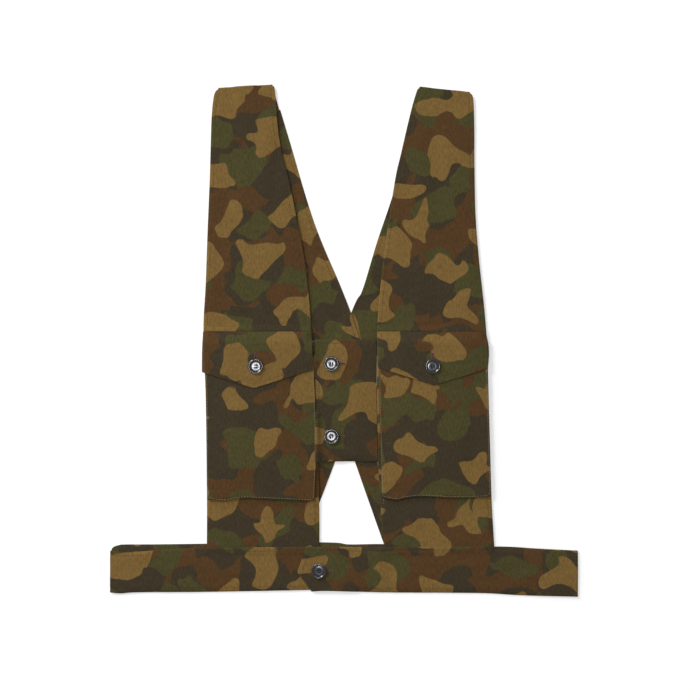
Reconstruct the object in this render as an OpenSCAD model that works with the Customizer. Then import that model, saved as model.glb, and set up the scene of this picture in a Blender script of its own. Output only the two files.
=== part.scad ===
// Harness vest laid flat on its back, front up: two shoulder straps that widen into pocketed
// front panels, an X back, a buttoned chest tab and a buttoned waist belt.
// +Y is the wearer's head end, +X the wearer's left, +Z up off the surface it lies on.
// The origin is at the centre of the outline, on the surface. Sides are the wearer's.

/* [Overall] */
// Length from the shoulder fold to the lowest point of the belt
overall_len = 615; // [500:1:740]
// Width of the belt, laid flat and closed
belt_w = 560; // [460:1:680]
// How far the middle of the front opening is from the middle of the belt
front_c = 2; // [-10:0.5:10]

/* [Cloth] */
// Thickness of one ply of the drill, with the air it holds
ply = 0.6; // [0.4:0.05:0.9]
// Clearance between cloth that moves and cloth that does not
lap_gap = 0.3; // [0.2:0.05:0.6]

/* [Front panels] */
// Gap between the two front edges
front_gap = 76; // [60:1:100]
// Width of a front panel at the pockets
panel_w = 135; // [110:1:165]
// Length of a front panel from the belt to the flap seam
panel_len = 260; // [215:1:320]
// Width of a strap at the shoulder fold
strap_w = 68; // [50:1:85]
// Distance from the front's middle line to the strap's middle at the shoulder
strap_c = 120; // [100:1:140]
// Distance from the front's middle line to the neck edge half way up the strap
neck_mid = 56; // [46:1:70]
// Length of the shoulder yoke behind the fold
yoke_len = 34; // [20:1:50]

/* [Back straps] */
// Width of the crossing back straps
back_strap_w = 55; // [40:1:66]
// Half the distance between the straps' inner edges where they meet the belt
back_spread = 48; // [38:1:60]
// Height above the belt's top edge at which the straps cross
cross_h = 209; // [175:1:240]

/* [Belt] */
// Height of the belt
belt_h = 54; // [40:1:70]
// How far the belt's left end hangs below the rest
belt_droop = 4.5; // [0:0.5:10]
// How far the back of the belt shows above its front
belt_rise = 4.5; // [0:0.5:10]
// Distance from the front's middle line to the tip of the belt's tongue
tongue_reach = 58; // [48:1:72]
// Depth of the tongue's point
tongue_point = 14; // [6:1:24]
// Distance from the tongue's tip to its button
tongue_button = 26; // [22:1:34]
// Distance from the front's middle line to the tongue's fold line
tongue_root = 42; // [36:1:48]
// Distance over which the left front half steps up to the tongue
riser_run = 12; // [8:1:20]
// Length of the button end that runs on under the tongue, past the middle line
belt_underlap = 10; // [0:1:20]

/* [Pockets] */
// Width of a pocket
pocket_w = 130; // [105:1:160]
// Height of a pocket from its mouth to its bottom seam
pocket_h = 186; // [150:1:225]
// Room inside a pocket, front to back
pocket_depth = 5; // [4.8:0.1:9]
// Radius of a pocket's lower corners
pocket_r = 9; // [4:1:16]
// Distance from the flap seam down to the pocket's mouth
mouth_drop = 14; // [13.5:0.5:20]
// Height of the turned hem inside the pocket's mouth
hem_h = 18; // [10:1:26]
// Distance from the left panel's front edge to the left pocket
left_pocket_inset = 4; // [0:0.5:8]

/* [Flaps] */
// Width of a flap
flap_w = 132; // [106:1:162]
// Length of a flap's straight sides
flap_side = 46; // [36:1:56]
// Depth of a flap's point
flap_point = 20; // [8:1:30]
// Distance from the tip of a flap to its button
flap_button = 24; // [20:1:29]
// How far the right flap's button is off the flap's middle
right_button_off = 3.4; // [0:0.2:6]
// Height of the rolled seam above the panel
seam_h = 1.8; // [1.2:0.1:1.8]
// Width of the rolled seam
seam_w = 3; // [2:0.5:5]

/* [Chest tab] */
// Length of the tab, from the left front edge to its free end
tab_len = 74; // [66:1:90]
// Height of the tab
tab_h = 146; // [120:1:176]
// Distance from the flap seam down to the tab's upper edge
tab_drop = 9.5; // [4:0.5:16]
// Distance from the tab's free end to its buttons
tab_button = 19; // [16:1:24]
// Distance between the two buttons of the tab
tab_button_pitch = 87; // [60:1:100]
// Width of the tab's sewn end, from the left front edge to the fold line
tab_root_w = 6; // [5:0.5:9]
// Width of the button stand under the tab
stand_w = 38; // [32:1:42]

// Distance over which the tab rises from its fold line on to the stand
tab_run = 20; // [10:1:26]

/* [Buttons] */
// Button diameter
button_d = 18; // [15:0.5:19]
// Button thickness over the rim
button_t = 2.6; // [2:0.1:3.5]
// Diameter of the four sewing holes
button_hole_d = 1.8; // [1.4:0.1:2.2]
// Distance from the button's middle to each sewing hole
button_hole_r = 2.5; // [2.2:0.1:3]
// Diameter of the thread shank under a button
shank_d = 2.4; // [1.6:0.1:3]
// Height of a button above the cloth it closes
button_lift = 0.6; // [0.4:0.1:1]
// Clearance round the button as its cloth is lifted over it
button_clear = 1; // [0.8:0.1:1.5]
// Length of a buttonhole past the button's middle
buttonhole_reach = 16; // [12:0.5:17]
// Clearance between the shank and the slit
slit_clear = 0.4; // [0.3:0.05:0.6]

/* [Hidden] */
$fn = 48;
eps = 0.01;
two = 2 * ply;

y_top = overall_len / 2;
y_bottom = -overall_len / 2;
belt_bottom = y_bottom + belt_droop;
belt_top = belt_bottom + belt_h;
seam_y = belt_top + panel_len;

z_back_left = 0;
z_back_right = two;
z_front = 2 * two;
z_face = 3 * two;
z_lap = z_face + lap_gap;
z_pocket = z_face + pocket_depth;
z_flap = z_pocket + ply + lap_gap;

edge_u = front_gap / 2;
side_u = edge_u + panel_w;
fold_y = y_top - z_face / 2;
yoke_y = fold_y - yoke_len;
cross_y = belt_top + cross_h;
back_top = belt_top + belt_rise;

mouth_y = seam_y - mouth_drop;
flap_root_y = seam_y - lap_gap;
flap_root_top = z_face + seam_h + ply;
flap_run = mouth_drop - 2 * lap_gap - ply;
flap_mid_u = edge_u + flap_w / 2;
flap_corner_y = seam_y - flap_side;
flap_tip_y = flap_corner_y - flap_point;
flap_button_y = flap_tip_y + flap_button;

tab_top = seam_y - tab_drop;
tab_mid_y = tab_top - tab_h / 2;
tab_hinge_x = edge_u - tab_root_w;
tab_end_x = edge_u - tab_len;
tab_button_x = tab_end_x + tab_button;
tab_hinge_z = z_lap;

tongue_tip_x = -tongue_reach;
tongue_button_x = tongue_tip_x + tongue_button;
belt_mid_y = belt_bottom + belt_h / 2;

hole_r = button_d / 2 + button_clear;
slit_w = shank_d + 2 * slit_clear;
lip_margin = 1.2;
lip_w = slit_w + 2 * lip_margin;
thread_d = 1.1;

cloth_tan = "#75592f";
cloth_brown = "#513a22";
cloth_green = "#474325";
cloth_dark = "#3d3528";
button_black = "#26262a";
thread_grey = "#4a4648";

// Helpers -------------------------------------------------------------------------------------

// side is 1 for the wearer's left and -1 for the right; u is the distance from the front's middle
module on_side(side) {
    translate([front_c, 0, 0]) mirror([side < 0 ? 1 : 0, 0, 0]) children();
}

module sheet(z, t) {
    translate([0, 0, z]) linear_extrude(t) children();
}

// A profile drawn in Y and Z, extruded along X
module along_x(x0, x1) {
    translate([x0, 0, 0]) rotate([90, 0, 90]) linear_extrude(x1 - x0) children();
}

// A profile drawn in X and Z, extruded along Y
module along_y(y0, y1) {
    translate([0, y1, 0]) rotate([90, 0, 0]) linear_extrude(y1 - y0) children();
}

// Front panels --------------------------------------------------------------------------------

module front_plan() {
    polygon([
        [edge_u, belt_top], [edge_u, seam_y],
        [neck_mid, (seam_y + fold_y) / 2], [strap_c - strap_w / 2, fold_y],
        [strap_c + strap_w / 2, fold_y], [side_u, seam_y], [side_u, belt_top]
    ]);
}

module front_lining(side) {
    on_side(side) sheet(z_front, ply) front_plan();
}

module front_shell(side) {
    on_side(side) sheet(z_front + ply, ply) front_plan();
}

module right_front_panel() { color(cloth_tan) front_shell(-1); }
module right_front_lining() { color(cloth_brown) front_lining(-1); }
module left_front_panel() { color(cloth_tan) front_shell(1); }
module left_front_lining() { color(cloth_brown) front_lining(1); }

// The strap turns over the shoulder and ends in the yoke seam behind it
module shoulder_fold(side, z_low) {
    r_out = (z_face - z_low) / 2;
    r_in = r_out - two;
    on_side(side) {
        along_x(strap_c - strap_w / 2, strap_c + strap_w / 2)
            translate([fold_y, z_low + r_out]) difference() {
                circle(r_out);
                if (r_in > eps) circle(r_in);
                translate([-2 * r_out, -2 * r_out]) square([2 * r_out, 4 * r_out]);
            }
        sheet(z_low, two)
            translate([strap_c - strap_w / 2, yoke_y]) square([strap_w, yoke_len]);
    }
}

module right_shoulder_fold() { color(cloth_green) shoulder_fold(-1, z_back_right); }
module left_shoulder_fold() { color(cloth_green) shoulder_fold(1, z_back_left); }

// Back straps ---------------------------------------------------------------------------------

// Each runs from its own shoulder, over the middle, to the other side of the belt
module back_strap_plan() {
    half = back_strap_w / 2;
    polygon([
        [strap_c - strap_w / 2, yoke_y], [-half, cross_y],
        [-back_spread - back_strap_w, back_top], [-back_spread, back_top],
        [half, cross_y], [strap_c + strap_w / 2, yoke_y]
    ]);
}

module back_strap(side, z) {
    on_side(side) sheet(z, two) back_strap_plan();
}

module right_back_strap() { color(cloth_green) back_strap(-1, z_back_right); }
module left_back_strap() { color(cloth_dark) back_strap(1, z_back_left); }

// Pockets -------------------------------------------------------------------------------------

function pocket_u(side) = edge_u + (side > 0 ? left_pocket_inset : 0);

// The pocket's outline, in by a margin on the sides and the bottom
module pocket_plan(side, margin) {
    x0 = pocket_u(side) + margin;
    x1 = pocket_u(side) + pocket_w - margin;
    y0 = mouth_y - pocket_h + margin;
    r = pocket_r - margin;
    translate([x0, y0 + r]) square([x1 - x0, mouth_y - y0 - r]);
    translate([x0 + r, y0]) square([x1 - x0 - 2 * r, r + eps]);
    for (x = [x0 + r, x1 - r]) translate([x, y0 + r]) circle(r);
}

module pocket_front(side) {
    on_side(side) sheet(z_pocket, ply) pocket_plan(side, 0);
}

module pocket_gusset(side) {
    on_side(side) sheet(z_face, pocket_depth) difference() {
        pocket_plan(side, 0);
        pocket_plan(side, two);
        translate([pocket_u(side) + two, mouth_y - eps]) square([pocket_w - 2 * two, 1]);
    }
}

module pocket_hem(side) {
    on_side(side) sheet(z_pocket - ply, ply)
        translate([pocket_u(side) + two, mouth_y - hem_h]) square([pocket_w - 2 * two, hem_h]);
}

module right_pocket_front() { color(cloth_tan) pocket_front(-1); }
module right_pocket_gusset() { color(cloth_brown) pocket_gusset(-1); }
module right_pocket_hem() { color(cloth_dark) pocket_hem(-1); }
module left_pocket_front() { color(cloth_tan) pocket_front(1); }
module left_pocket_gusset() { color(cloth_brown) pocket_gusset(1); }
module left_pocket_hem() { color(cloth_dark) pocket_hem(1); }

// Buttonholes ---------------------------------------------------------------------------------

// The stretch of cloth round a buttonhole that gives as the button goes through it; the slit
// runs along +X of its own frame
module buttonhole_area() {
    circle(hole_r);
    translate([0, -lip_w / 2]) square([buttonhole_reach + lip_margin, lip_w]);
}

module slit() {
    translate([0, -slit_w / 2]) square([buttonhole_reach - slit_w / 2, slit_w]);
    for (x = [0, buttonhole_reach - slit_w / 2]) translate([x, 0]) circle(slit_w / 2);
}

module buttonhole(z) {
    sheet(z, two) difference() {
        buttonhole_area();
        slit();
    }
}

// Flaps ---------------------------------------------------------------------------------------

function flap_button_u(side) = flap_mid_u + (side < 0 ? right_button_off : 0);

module at_flap_buttonhole(side) {
    translate([flap_button_u(side), flap_button_y]) rotate(90) children();
}

// The flap rises from its rolled seam over the pocket's mouth, then lies flat on the pocket
module flap_profile(z, t) {
    drop = z_flap + two - flap_root_top;
    polygon([
        [flap_root_y, z - drop], [flap_root_y - flap_run, z],
        [flap_tip_y - 1, z], [flap_tip_y - 1, z + t],
        [flap_root_y - flap_run, z + t], [flap_root_y, z + t - drop]
    ]);
}

module flap_plan(side) {
    difference() {
        polygon([
            [edge_u, flap_root_y], [edge_u, flap_corner_y], [flap_mid_u, flap_tip_y],
            [edge_u + flap_w, flap_corner_y], [edge_u + flap_w, flap_root_y]
        ]);
        at_flap_buttonhole(side) buttonhole_area();
    }
}

module flap_layer(side, z) {
    on_side(side) intersection() {
        along_x(edge_u - 1, edge_u + flap_w + 1) flap_profile(z, ply);
        sheet(0, z_flap + 10) flap_plan(side);
    }
}

module flap_buttonhole(side) {
    on_side(side) translate([flap_button_u(side), flap_button_y, 0]) rotate([0, 0, 90])
        buttonhole(z_flap);
}

module flap_seam(side) {
    on_side(side) sheet(z_face, seam_h)
        translate([edge_u, seam_y]) square([flap_w, seam_w]);
}

module right_flap() { color(cloth_brown) flap_layer(-1, z_flap + ply); }
module right_flap_lining() { color(cloth_green) flap_layer(-1, z_flap); }
module right_flap_buttonhole() { color(thread_grey) flap_buttonhole(-1); }
module left_flap() { color(cloth_brown) flap_layer(1, z_flap + ply); }
module left_flap_lining() { color(cloth_green) flap_layer(1, z_flap); }
module left_flap_buttonhole() { color(thread_grey) flap_buttonhole(1); }
module right_flap_seam() { color(cloth_brown) flap_seam(-1); }
module left_flap_seam() { color(cloth_brown) flap_seam(1); }

// Chest tab -----------------------------------------------------------------------------------

tab_button_ys = [tab_mid_y + tab_button_pitch / 2, tab_mid_y - tab_button_pitch / 2];

module button_stand() {
    color(cloth_dark) translate([front_c, 0, 0]) sheet(z_front, two)
        translate([-edge_u, tab_mid_y - tab_h / 2 + two]) square([stand_w, tab_h - 2 * two]);
}

module chest_tab_root() {
    color(cloth_green) translate([front_c, 0, 0]) sheet(tab_hinge_z - two, two)
        translate([tab_hinge_x + lap_gap, tab_mid_y - tab_h / 2])
            square([tab_root_w - lap_gap, tab_h]);
}

// The tab rises from its fold line on to the button stand
module tab_profile(z) {
    rise = z_lap + two - tab_hinge_z;
    polygon([
        [tab_hinge_x, z - rise], [tab_hinge_x - tab_run, z], [tab_end_x, z],
        [tab_end_x, z + ply], [tab_hinge_x - tab_run, z + ply], [tab_hinge_x, z + ply - rise]
    ]);
}

module tab_layer(z) {
    translate([front_c, 0, 0]) difference() {
        along_y(tab_mid_y - tab_h / 2, tab_mid_y + tab_h / 2) tab_profile(z);
        for (y = tab_button_ys) translate([tab_button_x, y, 0])
            sheet(0, z_lap + 10) buttonhole_area();
    }
}

module chest_tab() { color(cloth_tan) tab_layer(z_lap + ply); }
module chest_tab_lining() { color(cloth_green) tab_layer(z_lap); }
module chest_tab_buttonholes() {
    color(thread_grey) for (y = tab_button_ys)
        translate([front_c + tab_button_x, y, 0]) buttonhole(z_lap);
}

// Belt ----------------------------------------------------------------------------------------

// The belt's outline between two stations, with the left end hanging a little
module belt_plan(x0, x1, rise) {
    bend = edge_u + panel_w;
    function sag(x) = x <= bend ? 0 : -belt_droop * (x - bend) / (belt_w / 2 - bend);
    xs = [for (x = [x0, bend, x1]) if (x >= x0 && x <= x1) x];
    polygon(concat(
        [for (x = xs) [x, belt_bottom + rise + sag(x)]],
        [for (i = [len(xs) - 1:-1:0]) [xs[i], belt_top + rise + sag(xs[i])]]
    ));
}

belt_end = belt_w / 2 - z_face / 2;

module belt_back() {
    color(cloth_dark) sheet(0, z_front) belt_plan(-belt_end, belt_end, belt_rise);
}

module belt_front_right() {
    color(cloth_dark) sheet(z_front, two) belt_plan(-belt_end, front_c + belt_underlap, 0);
}

// The left front half steps up to the tongue at its inner end
module belt_front_left() {
    x0 = front_c + tongue_root + lap_gap;
    lift = z_lap - lap_gap - z_front;
    color(cloth_brown) intersection() {
        along_y(y_bottom - 1, belt_top + 1) polygon([
            [x0, z_front + lift], [x0 + riser_run, z_front], [belt_end, z_front],
            [belt_end, z_front + two], [x0 + riser_run, z_front + two],
            [x0, z_front + lift + two]
        ]);
        sheet(0, z_lap + 10) belt_plan(x0, belt_end, 0);
    }
}

// Each end of the belt is a plain turn of its cloth
module belt_fold(side) {
    r = z_face / 2;
    y0 = belt_bottom - (side > 0 ? belt_droop : 0);
    mirror([side < 0 ? 1 : 0, 0, 0]) intersection() {
        translate([belt_end, y0, r]) rotate([-90, 0, 0]) cylinder(r = r, h = belt_h);
        translate([belt_end, y0, 0]) cube([r, belt_h, 2 * r]);
    }
}

module belt_fold_right() { color(cloth_dark) belt_fold(-1); }
module belt_fold_left() { color(cloth_brown) belt_fold(1); }

module tongue_plan() {
    difference() {
        polygon([
            [tongue_tip_x, belt_mid_y], [tongue_tip_x + tongue_point, belt_bottom],
            [tongue_root, belt_bottom], [tongue_root, belt_top],
            [tongue_tip_x + tongue_point, belt_top]
        ]);
        translate([tongue_button_x, belt_mid_y]) buttonhole_area();
    }
}

module tongue_layer(z) {
    translate([front_c, 0, 0]) sheet(z, ply) tongue_plan();
}

module belt_tongue() { color(cloth_tan) tongue_layer(z_lap + ply); }
module belt_tongue_lining() { color(cloth_green) tongue_layer(z_lap); }
module belt_tongue_buttonhole() {
    color(thread_grey) translate([front_c + tongue_button_x, belt_mid_y, 0]) buttonhole(z_lap);
}

// Buttons -------------------------------------------------------------------------------------

disc_r = button_d / 2 - 2.6;
groove_r = button_d / 2 - 1.6;
disc_z = button_t - 0.7;

// A four-hole button with a raised rim, a groove inside it and a dished middle
module button_body() {
    rim = button_d / 2;
    difference() {
        rotate_extrude() polygon([
            [0, 0], [rim - 1.6, 0], [rim, 0.8], [rim, button_t - 0.8], [rim - 0.5, button_t],
            [groove_r + 0.3, button_t], [groove_r, disc_z - 0.4], [disc_r, disc_z - 0.4],
            [disc_r - 0.4, disc_z], [0, disc_z - 0.2]
        ]);
        for (a = [45:90:315]) rotate([0, 0, a]) translate([button_hole_r, 0, -1])
            cylinder(d = button_hole_d, h = button_t + 2);
    }
}

// Thread: a shank below, a strand in each hole and two bars across the top
module button_thread_body(foot, turn) {
    translate([0, 0, -foot]) cylinder(d = shank_d, h = foot);
    s = button_hole_r * sin(45);
    rotate([0, 0, turn]) {
        translate([-s - thread_d / 2, -s - thread_d / 2, -button_lift / 2])
            cube([2 * s + thread_d, 2 * s + thread_d, button_lift / 2 - 0.05]);
        for (x = [-s, s]) {
            for (y = [-s, s]) translate([x, y, -button_lift / 4])
                cylinder(d = thread_d, h = disc_z + thread_d / 2 + button_lift / 4);
            translate([x - thread_d / 2, -s, disc_z + 0.05])
                cube([thread_d, 2 * s, thread_d / 2 - 0.05]);
        }
    }
}

function flap_button_x(side) = front_c + side * flap_button_u(side);
z_flap_button = z_flap + two + button_lift;
z_lap_button = z_lap + two + button_lift;

module flap_button_at(side) {
    translate([flap_button_x(side), flap_button_y, z_flap_button]) children();
}

module tab_button_at(i) {
    translate([front_c + tab_button_x, tab_button_ys[i], z_lap_button]) children();
}

module belt_button_at() {
    translate([front_c + tongue_button_x, belt_mid_y, z_lap_button]) children();
}

flap_foot = z_flap_button - z_pocket - ply;
lap_foot = z_lap_button - z_face;

module right_pocket_button() { color(button_black) flap_button_at(-1) button_body(); }
module right_pocket_button_thread() {
    color(thread_grey) flap_button_at(-1) button_thread_body(flap_foot, 90);
}
module left_pocket_button() { color(button_black) flap_button_at(1) button_body(); }
module left_pocket_button_thread() {
    color(thread_grey) flap_button_at(1) button_thread_body(flap_foot, 90);
}
module upper_chest_button() { color(button_black) tab_button_at(0) button_body(); }
module upper_chest_button_thread() {
    color(thread_grey) tab_button_at(0) button_thread_body(lap_foot, 0);
}
module lower_chest_button() { color(button_black) tab_button_at(1) button_body(); }
module lower_chest_button_thread() {
    color(thread_grey) tab_button_at(1) button_thread_body(lap_foot, 90);
}
module belt_button() { color(button_black) belt_button_at() button_body(); }
module belt_button_thread() {
    color(thread_grey) belt_button_at() button_thread_body(lap_foot, 0);
}

// Parts ---------------------------------------------------------------------------------------

right_front_panel();
right_front_lining();
left_front_panel();
left_front_lining();
right_shoulder_fold();
left_shoulder_fold();
right_back_strap();
left_back_strap();
right_pocket_front();
right_pocket_gusset();
right_pocket_hem();
left_pocket_front();
left_pocket_gusset();
left_pocket_hem();
right_flap_seam();
left_flap_seam();
button_stand();
chest_tab_root();
belt_back();
belt_front_right();
belt_front_left();
belt_fold_right();
belt_fold_left();
right_flap();
right_flap_lining();
right_flap_buttonhole();
left_flap();
left_flap_lining();
left_flap_buttonhole();
chest_tab();
chest_tab_lining();
chest_tab_buttonholes();
belt_tongue();
belt_tongue_lining();
belt_tongue_buttonhole();
right_pocket_button();
right_pocket_button_thread();
left_pocket_button();
left_pocket_button_thread();
upper_chest_button();
upper_chest_button_thread();
lower_chest_button();
lower_chest_button_thread();
belt_button();
belt_button_thread();
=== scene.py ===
import math

import bpy
import numpy as np
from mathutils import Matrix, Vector
from mathutils.bvhtree import BVHTree


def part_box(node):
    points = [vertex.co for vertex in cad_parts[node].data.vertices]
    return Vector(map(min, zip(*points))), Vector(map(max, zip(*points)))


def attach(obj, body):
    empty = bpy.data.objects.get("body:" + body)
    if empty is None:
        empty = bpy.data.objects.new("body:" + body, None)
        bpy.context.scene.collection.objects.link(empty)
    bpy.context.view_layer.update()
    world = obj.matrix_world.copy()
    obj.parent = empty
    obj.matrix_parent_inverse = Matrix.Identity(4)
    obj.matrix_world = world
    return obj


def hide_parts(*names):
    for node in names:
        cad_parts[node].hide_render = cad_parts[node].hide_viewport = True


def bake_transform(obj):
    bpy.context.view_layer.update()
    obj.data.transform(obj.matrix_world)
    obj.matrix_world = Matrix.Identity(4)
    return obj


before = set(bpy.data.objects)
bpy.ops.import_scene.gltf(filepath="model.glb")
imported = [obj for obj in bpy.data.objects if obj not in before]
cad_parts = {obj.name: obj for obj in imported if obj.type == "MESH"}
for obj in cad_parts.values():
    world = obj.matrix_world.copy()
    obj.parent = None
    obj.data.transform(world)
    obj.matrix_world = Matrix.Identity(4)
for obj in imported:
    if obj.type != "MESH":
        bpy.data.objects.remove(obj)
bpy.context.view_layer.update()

# Harness vest laid flat, front up. Every sheet of cloth is a closed grid that is laid, in the
# order it was sewn, on a height map of what lies below it. Lengths are in metres, and outlines
# are written in millimetres. Left and right are the wearer's.

MM = 0.001
BODY = "vest"
PLY = 0.6 * MM
FACING = 0.5 * MM
SHELL = 0.7 * MM
DOUBLE = 1.0 * MM
TOUCH = 0.05 * MM
LAP_GAP = 0.35 * MM
SEAM_IN = 4.8 * MM


def middle_z(node):
    """Height of the middle of a CAD node."""
    low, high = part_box(node)
    return (low[2] + high[2]) / 2


# Height map -----------------------------------------------------------------------------------

CELL = 1.0 * MM
MAP_X = np.arange(-0.300, 0.3005, CELL)
MAP_Y = np.arange(-0.325, 0.3255, CELL)
GRID_X, GRID_Y = np.meshgrid(MAP_X, MAP_Y)
surface = np.zeros_like(GRID_X)


def blur(field, spread_x, spread_y=None):
    """Gaussian blur with spreads in cells along X and Y."""
    out = field.astype(float)
    for axis, spread in ((1, spread_x), (0, spread_x if spread_y is None else spread_y)):
        reach = max(1, int(3 * spread))
        taps = np.exp(-0.5 * (np.arange(-reach, reach + 1) / spread) ** 2)
        taps /= taps.sum()
        pad = [(0, 0), (0, 0)]
        pad[axis] = (reach, reach)
        padded = np.pad(out, pad, mode="edge")
        size = field.shape[axis]
        out = sum(tap * np.take(padded, range(k, k + size), axis=axis) for k, tap in enumerate(taps))
    return out


def grow(field, reach):
    """The highest value within reach cells, taken along X and then along Y."""
    out = field.copy()
    for axis in (0, 1):
        base = out.copy()
        for k in range(1, reach + 1):
            out = np.maximum(out, np.roll(base, k, axis))
            out = np.maximum(out, np.roll(base, -k, axis))
    return out


def sample(field, x, y):
    """Bilinear reading of a height map."""
    fx = np.clip((x - MAP_X[0]) / CELL, 0, len(MAP_X) - 1.001)
    fy = np.clip((y - MAP_Y[0]) / CELL, 0, len(MAP_Y) - 1.001)
    i, j = fx.astype(int), fy.astype(int)
    a, b = fx - i, fy - j
    low = field[j, i] * (1 - a) + field[j, i + 1] * a
    high = field[j + 1, i] * (1 - a) + field[j + 1, i + 1] * a
    return low * (1 - b) + high * b


def inside(loop):
    """Mask of the map's cells inside a closed outline."""
    hit = np.zeros(GRID_X.shape, bool)
    for (x0, y0), (x1, y1) in zip(loop, np.roll(loop, -1, axis=0)):
        if y0 == y1:
            continue
        spans = (GRID_Y > y0) != (GRID_Y > y1)
        hit ^= spans & (GRID_X < x0 + (GRID_Y - y0) * (x1 - x0) / (y1 - y0))
    return hit


def ripples(seed, size_x, size_y):
    """Smooth random relief of unit spread, with bumps of about the given size in metres."""
    rng = np.random.default_rng(seed)
    field = blur(rng.standard_normal(GRID_X.shape), size_x / CELL / 3, size_y / CELL / 3)
    return field / field.std()


def ease(t):
    """Smooth step from 0 to 1."""
    t = np.clip(t, 0, 1)
    return t * t * (3 - 2 * t)


def lay(loop, thick, level, gap=TOUCH, soft=4, keep=(), relief=0.0, rim=5.0):
    """Lays a sheet on what is already there and returns the height map of its middle.

    level is the height of the sheet's middle away from its edges, which drop to what is below
    them within about two rims, except where an outline in keep carries the cloth on. soft is
    how many cells the cloth takes to come down off an edge.
    """
    global surface
    mask = inside(loop)
    near = grow(mask.astype(float), 3)
    high = grow(np.where(mask, surface, 0), soft)
    support = blur(high * near, soft / 2) / np.maximum(blur(near, soft / 2), 0.02)
    draped = np.maximum(support, np.where(mask, surface, 0)) + gap + thick / 2
    held = mask.copy()
    for extra in keep:
        held |= inside(extra)
    inner = ease(2 * blur(held, rim) - 1)
    middle = np.maximum(draped, draped + (level - draped) * inner) + relief
    surface = np.where(mask, np.maximum(surface, middle + thick / 2), surface)
    return middle


# Outlines and grids ---------------------------------------------------------------------------

EDGE = np.array([0, 0.15, 0.4, 0.8, 1.4, 2.2, 3.2, 4.2, 4.8, 5.4, 6.4, 8.0]) * MM
NARROW_EDGE = np.array([0, 0.15, 0.4, 0.8, 1.4, 2.0]) * MM
STEP = 2.2 * MM


def run(points):
    """Running length along a row of points."""
    return np.concatenate([[0], np.cumsum(np.linalg.norm(np.diff(points, axis=0), axis=1))])


def curve(points, smooth=True, parts=12):
    """Dense line through given points in millimetres, rounded or with sharp corners."""
    p = np.array(points, float) * MM
    if not smooth or len(p) < 3:
        return p
    q = np.vstack([2 * p[0] - p[1], p, 2 * p[-1] - p[-2]])
    t = np.linspace(0, 1, parts, endpoint=False)[:, None]
    line = []
    for a, b, c, d in zip(q[:-3], q[1:-2], q[2:-1], q[3:]):
        bend = (2 * a - 5 * b + 4 * c - d) * t**2 + (3 * b - a - 3 * c + d) * t**3
        line.append(0.5 * (2 * b + (c - a) * t + bend))
    return np.vstack([*line, p[-1:]])


def along(line, places):
    """Points at the given shares of a line's length."""
    lengths = run(line)
    at = np.asarray(places) * lengths[-1]
    return np.column_stack([np.interp(at, lengths, line[:, k]) for k in range(line.shape[1])])


def offset(line, distance):
    """The line moved sideways by a distance to its left, with mitred corners."""
    way = np.diff(line, axis=0)
    side = np.column_stack([-way[:, 1], way[:, 0]])
    side /= np.linalg.norm(side, axis=1, keepdims=True)
    before, after = np.vstack([side[:1], side]), np.vstack([side, side[-1:]])
    mitre = (before + after) / (1 + np.sum(before * after, axis=1, keepdims=True))
    return line + mitre * distance


def stations(length, edge, step=STEP):
    """Distances across a piece: close together at both edges and even in between."""
    reach = edge[-1]
    count = max(2, int((length - 2 * reach) / step) + 1)
    middle = np.linspace(reach, length - reach, count)[1:-1]
    return np.concatenate([edge, middle, length - edge[::-1]])


class Grid:
    """A ruled patch between line a and line b, with each point's distance to the edges.

    For an upright piece a is the left edge and b the right one, both from the bottom up; for a
    level piece a is the top edge and b the bottom one, both from left to right.
    """

    def __init__(self, a, b, edge=EDGE, width=None, step=STEP):
        length = (run(a)[-1] + run(b)[-1]) / 2
        places = stations(length, edge, step) / length
        a, b = along(a, places), along(b, places)
        widths = np.linalg.norm(b - a, axis=1)
        width = widths.max() if width is None else width
        inner = (stations(width, edge, step)[len(edge):-len(edge)] - edge[-1]) / (width - 2 * edge[-1])
        share = np.array([
            np.concatenate([edge, edge[-1] + inner * (w - 2 * edge[-1]), w - edge[::-1]]) / w
            for w in widths
        ])
        self.p = a[:, None] + (b - a)[:, None] * share[..., None]
        self.share = share
        self.to_a = share * widths[:, None]
        self.to_b = (1 - share) * widths[:, None]
        self.to_start = places[:, None] * length * np.ones_like(share)
        self.to_end = length - self.to_start
        self.length, self.width = length, widths.mean()
        self.flat = (widths.max(), max(run(a)[-1], run(b)[-1]))

    @property
    def x(self):
        return self.p[..., 0]

    @property
    def y(self):
        return self.p[..., 1]

    def loop(self):
        """The grid's outline."""
        return np.vstack([self.p[0, :-1], self.p[:-1, -1], self.p[-1, :0:-1], self.p[:0:-1, 0]])

    def rim(self):
        """Distance to the nearest edge."""
        return np.minimum(np.minimum(self.to_a, self.to_b), np.minimum(self.to_start, self.to_end))

    def point(self, tip, reach):
        """Draws the first row out to a point, fading over a distance."""
        tip = np.array(tip) * MM
        a, b = self.p[0, 0].copy(), self.p[0, -1].copy()
        way = b - a
        at = np.dot(tip - a, way) / np.dot(way, way)
        out = tip - (a + way * at)
        rise = np.minimum(self.share / at, (1 - self.share) / (1 - at))
        fade = np.clip(1 - self.to_start / reach, 0, 1)
        self.p += (rise * fade)[..., None] * out

    def sway(self, strays, reach):
        """Moves the first row up and down by strays at shares of its width, fading over a distance."""
        line = curve(strays) / MM
        stray = np.interp(self.share, line[:, 0], line[:, 1] * MM)
        self.p[..., 1] += stray * np.clip(1 - self.to_start / reach, 0, 1)


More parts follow.
